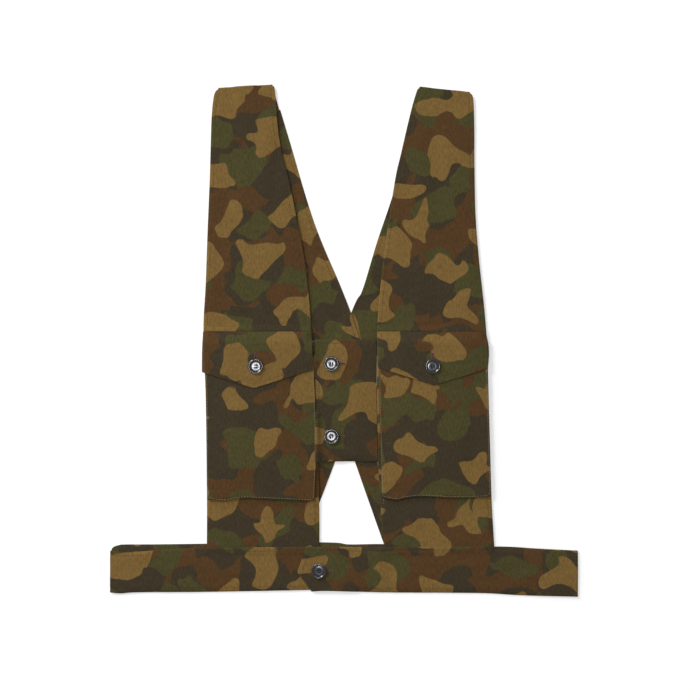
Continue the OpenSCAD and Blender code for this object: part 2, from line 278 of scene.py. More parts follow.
def gathers(distance, place, place_along, seed, depth=0.20 * MM, pucker=0.22 * MM):
    """The dip that a row of stitching pulls, and the small puckers beside it."""
    phase = np.random.default_rng(seed).uniform(0, 6, 3)
    wave = sum(
        size * np.sin(place_along / (length * MM) + p)
        for size, length, p in zip((1.0, 0.8, 0.6), (1.3, 1.9, 3.1), phase)
    )
    off = distance - place
    return pucker * wave / 2 * np.exp(-(off / (3.2 * MM)) ** 2) - depth * np.exp(-(off / (0.7 * MM)) ** 2)


def half_turn(row, far_z, out, steps=8):
    """Rows that carry a sheet's last row round a half turn, down to far_z below it."""
    radius = (row[:, 2] - far_z) / 2
    rows = []
    for angle in np.linspace(0, math.pi, steps + 1)[1:]:
        turned = row.copy()
        turned[:, :2] += np.array(out) * (radius * math.sin(angle))[:, None]
        turned[:, 2] = far_z + radius * (1 + math.cos(angle))
        rows.append(turned)
    return np.array(rows)


# Meshes ---------------------------------------------------------------------------------------

def link(name, vertices, faces, material):
    mesh = bpy.data.meshes.new(name)
    mesh.from_pydata(vertices, [], faces)
    mesh.polygons.foreach_set("use_smooth", np.ones(len(faces), bool))
    mesh.materials.append(material)
    mesh.update()
    piece = bpy.data.objects.new(name, mesh)
    bpy.context.collection.objects.link(piece)
    return piece


def sheet_mesh(name, points, thick, rim, uv, material):
    """A closed sheet of even thickness round a grid of middle points, with a rounded edge."""
    rows, cols = points.shape[:2]
    n = np.cross(np.gradient(points, axis=1), np.gradient(points, axis=0))
    n /= np.maximum(np.linalg.norm(n, axis=2, keepdims=True), 1e-12)
    roundness = np.sqrt(np.clip(1 - (1 - np.clip(rim / (0.8 * MM), 0, 1)) ** 2, 0.06, 1))
    lift = n * (thick / 2 * roundness)[..., None]
    count = rows * cols
    index = np.arange(count).reshape(rows, cols)
    a, b = index[:-1, :-1].ravel(), index[:-1, 1:].ravel()
    c, d = index[1:, 1:].ravel(), index[1:, :-1].ravel()
    ring = np.concatenate([index[0, :-1], index[:-1, -1], index[-1, :0:-1], index[:0:-1, 0]])
    after = np.roll(ring, -1)
    faces = np.vstack([
        np.column_stack([a, b, c, d]),
        np.column_stack([a, d, c, b]) + count,
        np.column_stack([ring, ring + count, after + count, after]),
    ])
    vertices = np.vstack([(points + lift).reshape(-1, 3), (points - lift).reshape(-1, 3)])
    vertices[:, 2] = np.maximum(vertices[:, 2], 0)
    piece = link(name, vertices.tolist(), faces.tolist(), material)
    mesh = piece.data
    corner = np.empty(len(mesh.loops), np.int32)
    mesh.loops.foreach_get("vertex_index", corner)
    both = np.vstack([uv.reshape(-1, 2)] * 2).astype(np.float32)
    mesh.uv_layers.new(name="cloth").data.foreach_set("uv", both[corner].ravel())
    worn = np.tile(np.exp(-rim.ravel() / (0.8 * MM)), 2).astype(np.float32)
    mesh.attributes.new("worn", "FLOAT", "POINT").data.foreach_set("value", worn)
    return piece


def cut_uv(x, y, turn=0.0, shift=(0, 0)):
    """Place on the printed cloth of a piece that was cut at an angle."""
    c, s = math.cos(math.radians(turn)), math.sin(math.radians(turn))
    return np.stack([x * c - y * s + shift[0], x * s + y * c + shift[1]], axis=-1)


def finish_sheet(piece, nodes, body=BODY):
    if body:
        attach(piece, body)
    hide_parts(*nodes)


def deselect():
    bpy.ops.object.select_all(action="DESELECT")


def apply_boolean(piece, cutters):
    """Cuts holes through a piece."""
    for cutter in cutters:
        modifier = piece.modifiers.new("hole", "BOOLEAN")
        modifier.operation = "DIFFERENCE"
        modifier.solver = "EXACT"
        modifier.object = cutter
        deselect()
        bpy.context.view_layer.objects.active = piece
        piece.select_set(True)
        bpy.ops.object.modifier_apply(modifier=modifier.name)
        bpy.data.objects.remove(cutter)


# Materials ------------------------------------------------------------------------------------

TAN = (0.117, 0.069, 0.0195)
GREEN = (0.040, 0.036, 0.0115)
BROWN = (0.053, 0.026, 0.0085)
DARK = (0.029, 0.0215, 0.0110)


def new_material(name):
    material = bpy.data.materials.new(name)
    material.use_nodes = True
    nodes = material.node_tree.nodes
    return material, nodes, material.node_tree.links, nodes["Principled BSDF"]


def add(nodes, kind, settings=None, **inputs):
    """Adds a node, sets its properties and then its inputs by name."""
    node = nodes.new(kind)
    for key, value in (settings or {}).items():
        setattr(node, key, value)
    for key, value in inputs.items():
        node.inputs[key.replace("_", " ")].default_value = value
    return node


def times_plus(nodes, links, value, factor, plus):
    """value * factor + plus, where factor and plus are numbers."""
    node = add(nodes, "ShaderNodeMath", {"operation": "MULTIPLY_ADD"})
    links.new(value, node.inputs[0])
    node.inputs[1].default_value = factor
    node.inputs[2].default_value = plus
    return node.outputs[0]


def product(nodes, links, first, second):
    node = add(nodes, "ShaderNodeMath", {"operation": "MULTIPLY"})
    links.new(first, node.inputs[0])
    links.new(second, node.inputs[1])
    return node.outputs[0]


def scaled_colour(nodes, links, colour, value):
    node = add(nodes, "ShaderNodeVectorMath", {"operation": "SCALE"})
    if isinstance(colour, tuple):
        node.inputs[0].default_value = colour
    else:
        links.new(colour, node.inputs[0])
    links.new(value, node.inputs["Scale"])
    return node.outputs[0]


def wander(nodes, links, coords, scale, amount):
    """Coordinates pushed about by smooth noise, so that outlines drawn in them turn wavy."""
    noise = add(nodes, "ShaderNodeTexNoise", Scale=scale, Detail=0.0)
    links.new(coords, noise.inputs["Vector"])
    push = add(nodes, "ShaderNodeVectorMath", {"operation": "MULTIPLY_ADD"})
    links.new(noise.outputs["Color"], push.inputs[0])
    push.inputs[1].default_value = (amount, amount, 0)
    links.new(coords, push.inputs[2])
    return push.outputs[0]


def screen(nodes, links, coords, under, ink, shift, scale, size):
    """One printing screen: amoeba-shaped blotches of an ink, over what is printed already."""
    moved = add(nodes, "ShaderNodeVectorMath", {"operation": "ADD"})
    moved.inputs[1].default_value = shift
    links.new(coords, moved.inputs[0])
    wavy = wander(nodes, links, moved.outputs[0], 21.0, 0.043)
    wavy = wander(nodes, links, wavy, 46.0, 0.030)
    cells = add(nodes, "ShaderNodeTexVoronoi", {"feature": "SMOOTH_F1", "voronoi_dimensions": "2D"},
                Scale=scale, Smoothness=0.35, Randomness=0.8)
    links.new(wavy, cells.inputs["Vector"])
    edge = add(nodes, "ShaderNodeMapRange", {"interpolation_type": "SMOOTHSTEP"},
               From_Min=size + 0.010, From_Max=size - 0.010)
    links.new(cells.outputs["Distance"], edge.inputs["Value"])
    mix = add(nodes, "ShaderNodeMix", {"data_type": "RGBA"})
    factor, first, second = mix.inputs[0], mix.inputs[6], mix.inputs[7]
    links.new(edge.outputs["Result"], factor)
    links.new(under, first)
    second.default_value = (*ink, 1)
    return mix.outputs[2]


def camouflage(name, strength=1.0):
    """Cotton drill printed in four colours: twill ribs, uneven ink and a worn edge."""
    material, nodes, links, shader = new_material(name)
    coords = add(nodes, "ShaderNodeUVMap", {"uv_map": "cloth"}).outputs[0]
    base = add(nodes, "ShaderNodeRGB")
    base.outputs[0].default_value = (*BROWN, 1)
    colour = base.outputs[0]
    for ink, shift, scale, size in (
            (DARK, (3.1, 0.4, 0.0), 16.5, 0.450),
            (GREEN, (0.7, 5.2, 0.0), 16.5, 0.300),
            (TAN, (7.9, 1.3, 0.0), 16.5, 0.300)):
        colour = screen(nodes, links, coords, colour, ink, shift, scale, size)
    cloudy = add(nodes, "ShaderNodeTexNoise", Scale=45.0, Detail=3.0, Roughness=0.6)
    links.new(coords, cloudy.inputs["Vector"])
    stretched = add(nodes, "ShaderNodeMapping", Scale=(1.0, 0.3, 1.0))
    links.new(coords, stretched.inputs["Vector"])
    yarn = add(nodes, "ShaderNodeTexNoise", Scale=560.0, Detail=3.0, Roughness=0.8)
    links.new(stretched.outputs[0], yarn.inputs["Vector"])
    worn = add(nodes, "ShaderNodeAttribute", {"attribute_name": "worn"})
    value = times_plus(nodes, links, cloudy.outputs["Fac"], 0.26 * strength, 0.87 * strength)
    value = product(nodes, links, value, times_plus(nodes, links, yarn.outputs["Fac"], 1.5, 0.25))
    value = product(nodes, links, value, times_plus(nodes, links, worn.outputs["Fac"], 0.18, 1.0))
    links.new(scaled_colour(nodes, links, colour, value), shader.inputs["Base Color"])
    twill = add(nodes, "ShaderNodeTexWave", {"bands_direction": "DIAGONAL"}, Scale=300.0,
                Distortion=0.8, Detail=1.0, Detail_Scale=3.0)
    links.new(coords, twill.inputs["Vector"])
    height = add(nodes, "ShaderNodeMath", {"operation": "ADD"})
    links.new(twill.outputs["Fac"], height.inputs[0])
    links.new(yarn.outputs["Fac"], height.inputs[1])
    bump = add(nodes, "ShaderNodeBump", Strength=0.5, Distance=0.10 * MM)
    links.new(height.outputs[0], bump.inputs["Height"])
    links.new(bump.outputs[0], shader.inputs["Normal"])
    shader.inputs["Roughness"].default_value = 0.93
    shader.inputs["Specular IOR Level"].default_value = 0.10
    shader.inputs["Sheen Weight"].default_value = 0.05
    shader.inputs["Sheen Roughness"].default_value = 0.5
    return material


def thread_material(name, colour):
    """Twisted sewing thread."""
    material, nodes, links, shader = new_material(name)
    coords = add(nodes, "ShaderNodeTexCoord").outputs["Object"]
    plies = add(nodes, "ShaderNodeTexWave", {"bands_direction": "DIAGONAL"}, Scale=900.0, Distortion=1.0)
    links.new(coords, plies.inputs["Vector"])
    value = times_plus(nodes, links, plies.outputs["Fac"], 0.45, 0.75)
    links.new(scaled_colour(nodes, links, colour, value), shader.inputs["Base Color"])
    bump = add(nodes, "ShaderNodeBump", Strength=0.4, Distance=0.05 * MM)
    links.new(plies.outputs["Fac"], bump.inputs["Height"])
    links.new(bump.outputs[0], shader.inputs["Normal"])
    shader.inputs["Roughness"].default_value = 0.85
    shader.inputs["Specular IOR Level"].default_value = 0.08
    return material


def button_material(name):
    """Black moulded button with a polished face and faint scuffs."""
    material, nodes, links, shader = new_material(name)
    coords = add(nodes, "ShaderNodeTexCoord").outputs["Object"]
    scuffs = add(nodes, "ShaderNodeTexNoise", Scale=700.0, Detail=4.0, Roughness=0.65)
    links.new(coords, scuffs.inputs["Vector"])
    rough = times_plus(nodes, links, scuffs.outputs["Fac"], 0.35, 0.05)
    links.new(rough, shader.inputs["Roughness"])
    bump = add(nodes, "ShaderNodeBump", Strength=0.05, Distance=0.01 * MM)
    links.new(scuffs.outputs["Fac"], bump.inputs["Height"])
    links.new(bump.outputs[0], shader.inputs["Normal"])
    shader.inputs["Base Color"].default_value = (0.011, 0.011, 0.014, 1)
    shader.inputs["Coat Weight"].default_value = 0.1
    shader.inputs["Coat Roughness"].default_value = 0.12
    return material


cloth = camouflage("camouflage_drill")
lining_cloth = camouflage("camouflage_lining", strength=0.92)
seam_thread = thread_material("seam_thread", (0.054, 0.040, 0.019))
pale_thread = thread_material("pale_thread", (0.190, 0.155, 0.092))
buttonhole_thread = thread_material("buttonhole_thread", (0.090, 0.045, 0.046))
button_thread = thread_material("button_thread", (0.022, 0.019, 0.019))
button_black = button_material("button_black")

# Modelling helpers and stitching --------------------------------------------------------------


def pick(piece, test):
    """Selects the faces of the piece in edit mode whose centre and normal pass a test."""
    bpy.ops.mesh.select_mode(type="FACE")
    bpy.ops.mesh.select_all(action="DESELECT")
    bpy.ops.object.mode_set(mode="OBJECT")
    for face in piece.data.polygons:
        face.select = test(face.center, face.normal)
    bpy.ops.object.mode_set(mode="EDIT")


def make_stitch():
    """One stitch of unit length and thickness along X, with both ends drawn into the cloth."""
    deselect()
    bpy.ops.mesh.primitive_cylinder_add(vertices=6, radius=0.5, depth=0.6, rotation=(0, math.pi / 2, 0))
    bpy.ops.object.transform_apply(location=True, rotation=True, scale=True)
    piece = bpy.context.object
    bpy.ops.object.mode_set(mode="EDIT")
    for side in (-1, 1):
        pick(piece, lambda centre, normal: normal.x * side > 0.9)
        bpy.ops.mesh.extrude_region_move(TRANSFORM_OT_translate={"value": (side * 0.2, 0, -0.55)})
        bpy.ops.transform.resize(value=(1, 0.5, 0.5))
    bpy.ops.object.mode_set(mode="OBJECT")
    vertices = np.array([v.co[:] for v in piece.data.vertices])
    faces = [list(f.vertices) for f in piece.data.polygons]
    bpy.data.objects.remove(piece)
    return vertices, faces


STITCH_SHAPE, STITCH_FACES = make_stitch()
STITCH = 2.6 * MM
STITCH_GAP = 0.8 * MM
THREAD = 0.42 * MM
stitch_ends = {}
trees = {}


def surface_points(piece, flat, under=False):
    """Drops flat points on to a piece's top, or lifts them to its underside."""
    if piece.name not in trees:
        trees[piece.name] = BVHTree.FromObject(piece, bpy.context.evaluated_depsgraph_get())
    start, way = (-0.05, 1) if under else (0.05, -1)
    heights = []
    for x, y in flat:
        hit = trees[piece.name].ray_cast(Vector((x, y, start)), Vector((0, 0, way)))[0]
        heights.append(np.nan if hit is None else hit.z)
    return np.column_stack([flat, heights])


def add_stitches(group, a, b, thread=THREAD, under=False):
    """Adds stitches between matching rows of end points."""
    good = ~(np.isnan(a[:, 2]) | np.isnan(b[:, 2]))
    stitch_ends.setdefault(group, []).append((a[good], b[good], thread, -1 if under else 1))


def stitch_run(group, piece, line):
    """Adds a row of stitches on a piece along a flat line."""
    length = run(line)[-1]
    count = int(length / (STITCH + STITCH_GAP))
    starts = (np.arange(count) + 0.5) / count - STITCH / 2 / length
    a, b = along(line, starts), along(line, starts + STITCH / length)
    add_stitches(group, surface_points(piece, a), surface_points(piece, b))


def build_stitches(group, material=seam_thread):
    """Joins all stitches of a group in one piece."""
    vertices, faces, total = [], [], 0
    for a, b, thread, sign in stitch_ends[group]:
        way = b - a
        length = np.linalg.norm(way, axis=1, keepdims=True)
        way = way / length
        side = np.cross((0, 0, 1.0), way)
        side /= np.linalg.norm(side, axis=1, keepdims=True)
        up = np.cross(way, side) * sign
        side = side * sign
        shape = STITCH_SHAPE[None]
        spots = (
            ((a + b) / 2 + up * thread * 0.15)[:, None]
            + shape[..., 0:1] * (way * length)[:, None]
            + shape[..., 1:2] * side[:, None] * thread
            + shape[..., 2:3] * up[:, None] * thread
        )
        vertices.append(spots.reshape(-1, 3))
        for k in range(len(a)):
            faces += [[v + total for v in face] for face in STITCH_FACES]
            total += len(STITCH_SHAPE)
    piece = link(group, np.vstack(vertices).tolist(), faces, material)
    return piece


SLIT = 0.5 * MM
EYE_R = 1.7 * MM
HOLE_REACH = 15.2 * MM
LIP = 1.3 * MM


def hole_line(start, way):
    """Closed line round a buttonhole: an eye for the shank and a narrow slit away from it."""
    angle0 = math.asin(SLIT / 2 / EYE_R)
    angles = np.linspace(angle0, 2 * math.pi - angle0, 26)
    eye = np.column_stack([np.cos(angles), np.sin(angles)]) * EYE_R
    end = np.linspace(-math.pi / 2, math.pi / 2, 7)
    tip = np.column_stack([HOLE_REACH + np.cos(end) * SLIT / 2, np.sin(end) * SLIT / 2])
    loop = np.vstack([eye, tip])
    across = np.array([-way[1], way[0]])
    return np.array(start) + loop[:, :1] * np.array(way) + loop[:, 1:] * across


def hole_cutter(loop, z):
    """An upright prism over a closed line."""
    count = len(loop)
    low = [(x, y, z - 4 * MM) for x, y in loop]
    high = [(x, y, z + 4 * MM) for x, y in loop]
    faces = [list(range(count))[::-1], [k + count for k in range(count)]]
    for k in range(count):
        after = (k + 1) % count
        faces.append([k, after, after + count, k + count])
    return link("hole_cutter", low + high, faces, button_thread)


def buttonhole(group, piece, start, way):
    """Cuts a buttonhole in a piece and sews round it, on both faces."""
    loop = hole_line(start, way)
    z = surface_points(piece, np.array([loop[len(loop) // 2]]))[0, 2]
    closed = np.vstack([loop, loop[:1]])
    count = int(run(closed)[-1] / (0.40 * MM))
    places = (np.arange(count) + 0.5) / count
    inner = along(offset(closed, -0.25 * MM), places)
    outer = along(offset(closed, -LIP), places)
    for under in (False, True):
        a, b = surface_points(piece, outer, under), surface_points(piece, inner, under)
        add_stitches(group, a, b, 0.45 * MM, under)
    apply_boolean(piece, [hole_cutter(loop, z)])


# Outlines, in millimetres ---------------------------------------------------------------------

RIGHT_OUTER = [(-164.3, -252), (-164.2, -190), (-165.6, -72), (-168.4, 11), (-165.8, 65),
               (-163.2, 137), (-160.8, 195), (-158.8, 262), (-156.6, 288), (-154.2, 297.5), (-150.6, 301.0)]
RIGHT_NECK = [(-29.4, -252), (-29.8, -190), (-33.6, -72), (-38.9, 11), (-42.8, 60), (-48.8, 107),
              (-57.1, 149), (-65.6, 190), (-77.6, 242), (-82.6, 298), (-85.6, 305.4)]
LEFT_NECK = [(48.6, -252), (43.8, -197), (41.2, -145), (39.5, -60), (39.7, 11), (44.8, 76),
             (50.2, 120), (61.2, 192), (68.6, 225), (79.6, 272), (87.0, 298), (90.4, 302.6)]
LEFT_OUTER = [(180.4, -252), (176.8, -189), (173.8, -86), (170.4, 11), (161.7, 97), (157.6, 150),
              (156.4, 205), (156.0, 262), (154.6, 290), (151.0, 296.4)]
RIGHT_YOKE = [(-157.0, 270.0), (-77.0, 274.0)]
LEFT_YOKE = [(80.5, 270.0), (156.2, 264.0)]

RIGHT_BACK_ARM = [(50.5, -252), (24, -177), (1.8, -113.5), (-26, -38), (-50, 34), (-98, 142), (-132, 215),
                  (-157.0, 272.5)]
RIGHT_BACK_NECK = [(104.5, -252), (60, -113), (16, 11), (7.9, 34.3), (-5.0, 67), (-36.2, 142.5),
                   (-67.0, 245), (-76.5, 276.5)]
LEFT_BACK_NECK = [(-101, -252), (-46, -113), (8.6, 33.1), (22.1, 60.5), (39.6, 118), (57.2, 170),
                  (73.5, 225), (80.5, 272.5)]
LEFT_BACK_ARM = [(-52.5, -252), (-30.6, -197.5), (-10.8, -146), (1.8, -113.5), (63.6, 33), (110, 150),
                 (140, 220), (156.2, 266.5)]

BACK_TOP = [(-279, -252.0), (-278.2, -249.4), (-275.2, -247.0), (-270, -245.5), (-262, -244.7),
            (-209, -244.4),
            (-29, -242.2), (6, -244.6), (46, -244.2), (120, -245.4), (180, -247.8), (230, -250.4),
            (279, -251.9)]
BACK_LOW = [(-279, -302.2), (-209, -298), (46, -297.5), (180, -298), (240, -303.5), (279, -307.0)]
BELT_RIGHT_TOP = [(-279, -252.0), (-276, -252.7), (-270, -253.1), (-260, -253.3), (-239, -252.6),
                  (-209, -250.2), (-165, -248.6), (-29, -247.0), (12, -247.6)]
BELT_RIGHT_LOW = [(-279, -302.2), (-268, -303.3), (-246, -302.0), (-159, -301.4), (-42, -299.2),
                  (12, -299.0)]
BELT_LEFT_TOP = [(-44.6, -246.8), (6, -247.3), (46, -247.6), (180, -246.9), (230, -249.3), (279, -251.9)]
BELT_LEFT_LOW = [(-38.8, -300.8), (-17, -300.1), (53, -302.2), (162, -302.9), (212, -305.6), (279, -307.2)]
TONGUE_TIP = (-56.0, -277.2)

# each pocket has its left edge, its right edge, and how far its lower edge strays from straight
RIGHT_POCKET = (
    [(-154.0, -191.2), (-160.2, -189.3), (-163.6, -185), (-164.3, -120), (-164.9, -60), (-166.4, -3)],
    [(-42.4, -191.6), (-37.4, -190.2), (-35.3, -186), (-33.5, -130), (-34.6, -72), (-38.0, -3)],
    [(0, 0), (0.11, 0), (0.25, 2.5), (0.36, 3.1), (0.58, 2.0), (0.82, 0.9), (1, 0)],
)
LEFT_POCKET = (
    [(50.8, -188.4), (47.0, -187.2), (45.4, -183), (43.9, -130), (42.2, -60), (42.2, -3)],
    [(168.4, -187.0), (174.0, -185.2), (175.6, -181), (174.0, -120), (172.4, -60), (169.9, -3)],
    [(0, 0), (0.10, -2.0), (0.20, 0.2), (0.35, 1.8), (0.53, 0.5), (0.70, -0.5), (0.89, -0.5), (1, 0)],
)
LEFT_SNAG = (54, -183)
FLAP_ROOT = 10.6
RIGHT_FLAP = (
    [(-170.2, -37.9), (-169.8, -15), (-168.7, FLAP_ROOT)],
    [(-37.2, -35.3), (-37.9, -12), (-38.9, FLAP_ROOT)],
    (-107.4, -57.1),
)
LEFT_FLAP = (
    [(40.8, -32.5), (39.9, -12), (39.5, FLAP_ROOT)],
    [(172.0, -34.0), (173.4, -12), (169.9, FLAP_ROOT)],
    (107.3, -53.6),
)
TAB = ([(-34.6, -145), (-34.4, 1.1)], [(40.5, -145), (39.2, -60), (39.1, 1.1)])
STAND = ([(-31.0, -143), (-33.4, -72), (-38.0, 0.3)], [(2, -143), (2, 0.3)])

# Back straps ----------------------------------------------------------------------------------

for side, lines, seed, turn in (
        ("left", (LEFT_BACK_NECK, LEFT_BACK_ARM), 11, -24.0),
        ("right", (RIGHT_BACK_ARM, RIGHT_BACK_NECK), 17, 31.0)):
    grid = Grid(curve(lines[0]), curve(lines[1]))
    fine = 0.12 * MM * np.clip(1.2 + ripples(seed, 30 * MM, 30 * MM), 0, 2.5)
    middle = lay(grid.loop(), DOUBLE, 0.0, relief=fine)
    z = sample(middle, grid.x, grid.y)
    for k, edge in enumerate((grid.to_a, grid.to_b)):
        z = z + gathers(edge, SEAM_IN, grid.to_start, seed + k)
    strap = sheet_mesh(f"{side}_back_strap_cloth", np.dstack([grid.x, grid.y, z]), DOUBLE, grid.rim(),
                       cut_uv(grid.x, grid.y, turn, (seed * 0.7, 0.3)), cloth)
    finish_sheet(strap, [f"{side}_back_strap"])
    stitch_run("back_stitching", strap, offset(curve(lines[0]), -SEAM_IN)[3:-3])
    stitch_run("back_stitching", strap, offset(curve(lines[1]), SEAM_IN)[3:-3])

# Belt back ------------------------------------------------------------------------------------

BELT_WIDE = 54 * MM
BELT_BACK_Z = middle_z("belt_back")
BELT_FRONT_Z = middle_z("belt_front_right")
back_grid = Grid(curve(BACK_TOP), curve(BACK_LOW), width=BELT_WIDE)
ENDS_LEFT = np.array([(-320, -230), (-278, -230), (-278, -320), (-320, -320)]) * MM
ENDS_RIGHT = ENDS_LEFT * (-1, 1)
belt_relief = 0.22 * MM * np.clip(1.0 + ripples(53, 26 * MM, 18 * MM), 0, 2.5)
back_middle = lay(back_grid.loop(), DOUBLE, BELT_BACK_Z, keep=(ENDS_LEFT, ENDS_RIGHT))
back_z = sample(back_middle, back_grid.x, back_grid.y)

# Front panels ---------------------------------------------------------------------------------

FOLD_BAND = np.array([(-200, 285), (200, 285), (200, 325), (-200, 325)]) * MM
YOKE_Z = DOUBLE + SHELL / 2 + TOUCH
YOKE_ROWS = 18
low_zone = ease((GRID_Y - -244 * MM) / (30 * MM))
calm_seam = 1 - 0.85 * np.exp(-(((GRID_Y - 14 * MM) / (16 * MM)) ** 2))


def front(side, left_line, right_line, yoke, seed, turn, shift):
    """Facing and outer cloth of one front; the outer cloth turns over the shoulder to the yoke."""
    a, b = curve(left_line), curve(right_line)
    fold_loop = np.vstack([a[-1], b[-1], np.array(yoke[1]) * MM, np.array(yoke[0]) * MM])
    global surface
    surface = np.where(inside(fold_loop), np.maximum(surface, YOKE_Z + SHELL / 2), surface)

    short = Grid(along(a, np.linspace(0.006, 0.997, 200)), along(b, np.linspace(0.006, 0.997, 200)))
    middle = lay(short.loop(), FACING, middle_z(f"{side}_front_lining"), keep=(FOLD_BAND,))
    z = sample(middle, short.x, short.y)
    piece = sheet_mesh(f"{side}_front_facing", np.dstack([short.x, short.y, z]), FACING, short.rim(),
                       cut_uv(short.x, short.y, turn + 90, shift), lining_cloth)
    finish_sheet(piece, [f"{side}_front_lining"])

    grid = Grid(a, b)
    relief = ripples(seed, 16 * MM, 70 * MM) + 0.8 * ripples(seed + 1, 40 * MM, 36 * MM)
    relief = 0.30 * MM * np.clip(1.4 + relief, 0, 4) * low_zone * calm_seam
    middle = lay(grid.loop(), SHELL, middle_z(f"{side}_front_panel"), keep=(FOLD_BAND,), relief=relief)
    z = sample(middle, grid.x, grid.y)
    for k, edge in enumerate((grid.to_a, grid.to_b)):
        z = z + gathers(edge, SEAM_IN, grid.to_start, seed + 3 + k)
    points = np.dstack([grid.x, grid.y, z])
    uv = cut_uv(grid.x, grid.y, turn, shift)
    across = np.minimum(grid.to_a, grid.to_b)

    far_z = np.full(points.shape[1], YOKE_Z)
    arc = half_turn(points[-1], far_z, (0, 1))
    share = (points[-1, :, 0] - points[-1, 0, 0]) / (points[-1, -1, 0] - points[-1, 0, 0])
    corner_a, corner_b = np.array(yoke) * MM
    goal = np.column_stack([corner_a + (corner_b - corner_a) * share[:, None], far_z])
    steps = np.linspace(0, 1, YOKE_ROWS + 1)[1:, None, None]
    under = arc[-1] + (goal - arc[-1]) * steps
    folded = np.concatenate([points[-1:], arc, under])
    spent = np.cumsum(np.linalg.norm(np.diff(folded, axis=0), axis=2), axis=0)
    more_uv = cut_uv(points[-1, :, 0] * np.ones_like(spent), points[-1, :, 1] + spent, turn, shift)
    rim = np.minimum(across, grid.to_start)
    more_rim = np.tile(across[-1], (len(spent), 1))
    more_rim[-1] = 0
    piece = sheet_mesh(f"{side}_front_cloth", np.concatenate([points, folded[1:]]), SHELL,
                       np.concatenate([rim, more_rim]), np.concatenate([uv, more_uv]), cloth)
    finish_sheet(piece, [f"{side}_front_panel", f"{side}_shoulder_fold"])
    stitch_run("front_stitching", piece, offset(a, -SEAM_IN)[2:-3])
    stitch_run("front_stitching", piece, offset(b, SEAM_IN)[2:-3])
    return piece


CUTS = {"right": (4.0, (0.0, 0.0)), "left": (-6.0, (1.9, 0.6))}
front("right", RIGHT_OUTER, RIGHT_NECK, RIGHT_YOKE, 31, *CUTS["right"])
left_front = front("left", LEFT_NECK, LEFT_OUTER, LEFT_YOKE, 41, *CUTS["left"])

# Belt front -----------------------------------------------------------------------------------


def belt_gathers(grid, seed):
    return (gathers(grid.to_a, SEAM_IN, grid.to_start, seed)
            + gathers(grid.to_b, SEAM_IN, grid.to_start, seed + 1))


def belt_piece(name, front_rows, arc_out, back_rows, turn, shift):
    """Joins a front strip, the turn at the belt's end and the strip behind in one sheet.

    The rows of the front strip run towards the turn and the rows behind run away from it.
    """
    arc = half_turn(front_rows[-1], back_rows[0, :, 2], arc_out)
    points = np.concatenate([front_rows, arc, back_rows])
    travelled = np.cumsum(np.linalg.norm(np.diff(points, axis=0), axis=2).mean(axis=1))
    travelled = np.concatenate([[0], travelled])[:, None] * np.ones(points.shape[:2])
    down = np.linalg.norm(points - points[:, :1], axis=2)
    uv = cut_uv(travelled, -down, turn, shift)
    edge_a = np.minimum(down, down[:, -1:] - down)
    ends = np.minimum(travelled, travelled[-1] - travelled)
    piece = sheet_mesh(name, points, DOUBLE, np.minimum(edge_a, ends), uv, cloth)
    return piece, travelled[-1, 0]


def declare_belt(nodes):
    """Hides the CAD nodes that one half of the belt stands in for."""
    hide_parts(*nodes)


right_grid = Grid(curve(BELT_RIGHT_TOP), curve(BELT_RIGHT_LOW), width=BELT_WIDE)
right_middle = lay(right_grid.loop(), DOUBLE, BELT_FRONT_Z, keep=(ENDS_LEFT,), relief=belt_relief)
right_z = sample(right_middle, right_grid.x, right_grid.y) + belt_gathers(right_grid, 61)
right_points = np.dstack([right_grid.x, right_grid.y, right_z])[::-1]
back_points = np.dstack([back_grid.x, back_grid.y, back_z])
reach = int(np.searchsorted(back_points[:, 0, 0], 272 * MM))
belt_band, band_long = belt_piece("belt_band", right_points, (-1, 0), back_points[:reach], 0.0, (5.0, 2.0))
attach(belt_band, BODY)
declare_belt(["belt_back", "belt_front_right", "belt_fold_right"])

tongue_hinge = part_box("belt_tongue")[1][0]
tongue_low, tongue_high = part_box("belt_tongue")
TONGUE_Z = middle_z("belt_tongue_lining") + (tongue_high[2] - tongue_low[2]) / 2
TONGUE_ROW_START = 8 * MM
RISER = 12 * MM
left_grid = Grid(curve(BELT_LEFT_TOP), curve(BELT_LEFT_LOW), width=BELT_WIDE)
left_grid.point(TONGUE_TIP, 30 * MM)
step_up = np.interp(GRID_X, [tongue_hinge, tongue_hinge + RISER], [TONGUE_Z, BELT_FRONT_Z])
tongue_gap = np.where(GRID_X < tongue_hinge + 2 * MM, LAP_GAP, TOUCH)
left_middle = lay(left_grid.loop(), DOUBLE, step_up, gap=tongue_gap, keep=(ENDS_RIGHT,),
                  relief=belt_relief * np.clip((GRID_X - tongue_hinge) / (40 * MM), 0.25, 1))
left_z = sample(left_middle, left_grid.x, left_grid.y) + belt_gathers(left_grid, 67)
left_points = np.dstack([left_grid.x, left_grid.y, left_z])
belt_left, left_long = belt_piece("belt_left_half", left_points, (1, 0), back_points[reach:][::-1],
                                  3.0, (9.0, 4.0))
declare_belt(["belt_front_left", "belt_fold_left", "belt_tongue", "belt_tongue_lining"])

top_line, low_line = curve(BELT_LEFT_TOP), curve(BELT_LEFT_LOW)
round_tongue = np.vstack([top_line[::-1], np.array([TONGUE_TIP]) * MM, low_line])
inner_row = offset(round_tongue, SEAM_IN)
on_tongue = inner_row[:, 0] < tongue_hinge + TONGUE_ROW_START
stitch_run("tongue_stitching", belt_left, inner_row[on_tongue])
for line, sideways in ((top_line, -SEAM_IN), (low_line, SEAM_IN)):
    row = offset(line, sideways)
    stitch_run("belt_stitching", belt_left, row[row[:, 0] > tongue_hinge + TONGUE_ROW_START])
stitch_run("belt_stitching", belt_band, offset(curve(BELT_RIGHT_TOP), -SEAM_IN)[2:])
stitch_run("belt_stitching", belt_band, offset(curve(BELT_RIGHT_LOW), SEAM_IN)[2:])

# Pockets --------------------------------------------------------------------------------------

